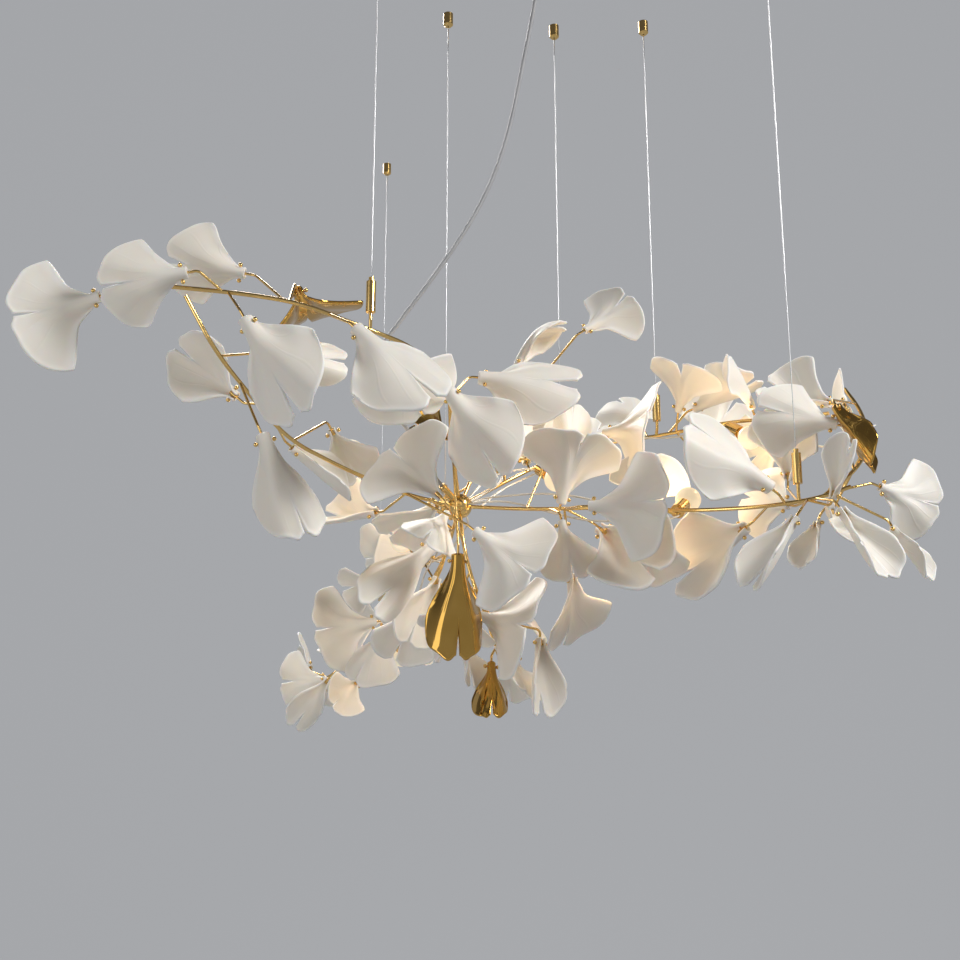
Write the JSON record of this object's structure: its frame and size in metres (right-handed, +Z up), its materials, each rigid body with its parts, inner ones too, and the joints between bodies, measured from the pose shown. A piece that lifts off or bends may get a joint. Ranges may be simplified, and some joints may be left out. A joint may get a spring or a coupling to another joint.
{
  "type": "chandelier",
  "caption": "Sprawling chandelier of porcelain ginkgo leaves on bent brass branches, hung on thin wires, with small globe lamps among the leaves",
  "frame": {"origin": "centre of the ceiling rose on the ceiling plane", "axes": "+Z up, +X to the right and +Y away as seen from the front of the picture"},
  "size_m": [1.0521, 1.078, 1.014],
  "materials": {
    "porcelain": "matt bisque",
    "polished_gold": "polished",
    "brass": "satin polished",
    "clear_cable": "clear",
    "steel_wire": "fine wire",
    "grey_cord": "matt sheath",
    "rose_paint": "gold paint",
    "zinc_steel": "zinc plated",
    "block_plastic": "matt",
    "milk_glass": "opal"
  },
  "bodies": {
    "ceiling": {"rose_cup": "rose_paint", "rose_bracket": "zinc_steel", "rose_screws": "zinc_steel", "terminal_block": "block_plastic", "rose_cord_grip": "brass", "ceiling_anchors": "brass", "suspension_wires": "steel_wire", "power_cord": "grey_cord"},
    "frame": {"hub_core": "brass", "branch_left_upper": "brass", "branch_left_lower": "brass", "branch_right_main": "brass", "branch_right_rear": "brass", "branch_right_curl": "brass", "branch_up_back": "brass", "branch_back_main": "brass", "branch_back_side": "brass", "branch_drop": "brass", "stems_left": "brass", "stems_top": "brass", "stems_right": "brass", "stems_centre": "brass", "stems_back": "brass", "leaf_pins_left": "brass", "leaf_pins_top": "brass", "leaf_pins_right": "brass", "leaf_pins_centre": "brass", "leaf_pins_back": "brass", "leaves_left_upper": "porcelain", "leaves_left_lower": "porcelain", "leaves_top": "porcelain", "leaves_right_rear": "porcelain", "leaves_right_main": "porcelain", "leaves_centre": "porcelain", "leaves_back": "porcelain", "gold_leaves": "polished_gold", "lamp_holders": "brass", "lamp_stems": "brass", "lamp_cables": "clear_cable", "gripper_bodies": "brass", "gripper_stubs": "brass", "hub_cord_grip": "brass"},
    "bulb_1": {"bulb_1": "milk_glass"},
    "bulb_2": {"bulb_2": "milk_glass"},
    "bulb_3": {"bulb_3": "milk_glass"},
    "bulb_4": {"bulb_4": "milk_glass"},
    "bulb_5": {"bulb_5": "milk_glass"},
    "bulb_6": {"bulb_6": "milk_glass"},
    "bulb_7": {"bulb_7": "milk_glass"},
    "bulb_8": {"bulb_8": "milk_glass"},
    "plunger_1": {"gripper_plunger_1": "brass"},
    "plunger_2": {"gripper_plunger_2": "brass"},
    "plunger_3": {"gripper_plunger_3": "brass"},
    "plunger_4": {"gripper_plunger_4": "brass"},
    "plunger_5": {"gripper_plunger_5": "brass"},
    "plunger_6": {"gripper_plunger_6": "brass"}
  },
  "joints": [
    {"name": "height_adjust", "type": "slide", "parent": "ceiling", "child": "frame", "axis": [0, 0, 1], "range_m": [0, 0.3], "deforming": ["suspension_wires", "power_cord"]},
    {"name": "bulb_1_pull", "type": "slide", "parent": "frame", "child": "bulb_1", "axis": [0.433, 0.75, 0.5], "range_m": [0, 0.022]},
    {"name": "bulb_2_pull", "type": "slide", "parent": "frame", "child": "bulb_2", "axis": [-0.25, 0.433, 0.866], "range_m": [0, 0.022]},
    {"name": "bulb_3_pull", "type": "slide", "parent": "frame", "child": "bulb_3", "axis": [0.433, -0.75, -0.5], "range_m": [0, 0.022]},
    {"name": "bulb_4_pull", "type": "slide", "parent": "frame", "child": "bulb_4", "axis": [0, 0.866, -0.5], "range_m": [0, 0.022]},
    {"name": "bulb_5_pull", "type": "slide", "parent": "frame", "child": "bulb_5", "axis": [0.433, -0.75, -0.5], "range_m": [0, 0.022]},
    {"name": "bulb_6_pull", "type": "slide", "parent": "frame", "child": "bulb_6", "axis": [-0.866, 0, 0.5], "range_m": [0, 0.022]},
    {"name": "bulb_7_pull", "type": "slide", "parent": "frame", "child": "bulb_7", "axis": [0, 0.866, -0.5], "range_m": [0, 0.022]},
    {"name": "bulb_8_pull", "type": "slide", "parent": "frame", "child": "bulb_8", "axis": [-0.866, 0, 0.5], "range_m": [0, 0.022]},
    {"name": "plunger_1_press", "type": "slide", "parent": "frame", "child": "plunger_1", "axis": [0, 0, -1], "range_m": [0, 0.003], "stiffness_N_per_m": 200, "springref_m": -0.002},
    {"name": "plunger_2_press", "type": "slide", "parent": "frame", "child": "plunger_2", "axis": [0, 0, -1], "range_m": [0, 0.003], "stiffness_N_per_m": 200, "springref_m": -0.002},
    {"name": "plunger_3_press", "type": "slide", "parent": "frame", "child": "plunger_3", "axis": [0, 0, -1], "range_m": [0, 0.003], "stiffness_N_per_m": 200, "springref_m": -0.002},
    {"name": "plunger_4_press", "type": "slide", "parent": "frame", "child": "plunger_4", "axis": [0, 0, -1], "range_m": [0, 0.003], "stiffness_N_per_m": 200, "springref_m": -0.002},
    {"name": "plunger_5_press", "type": "slide", "parent": "frame", "child": "plunger_5", "axis": [0, 0, -1], "range_m": [0, 0.003], "stiffness_N_per_m": 200, "springref_m": -0.002},
    {"name": "plunger_6_press", "type": "slide", "parent": "frame", "child": "plunger_6", "axis": [0, 0, -1], "range_m": [0, 0.003], "stiffness_N_per_m": 200, "springref_m": -0.002}
  ]
}
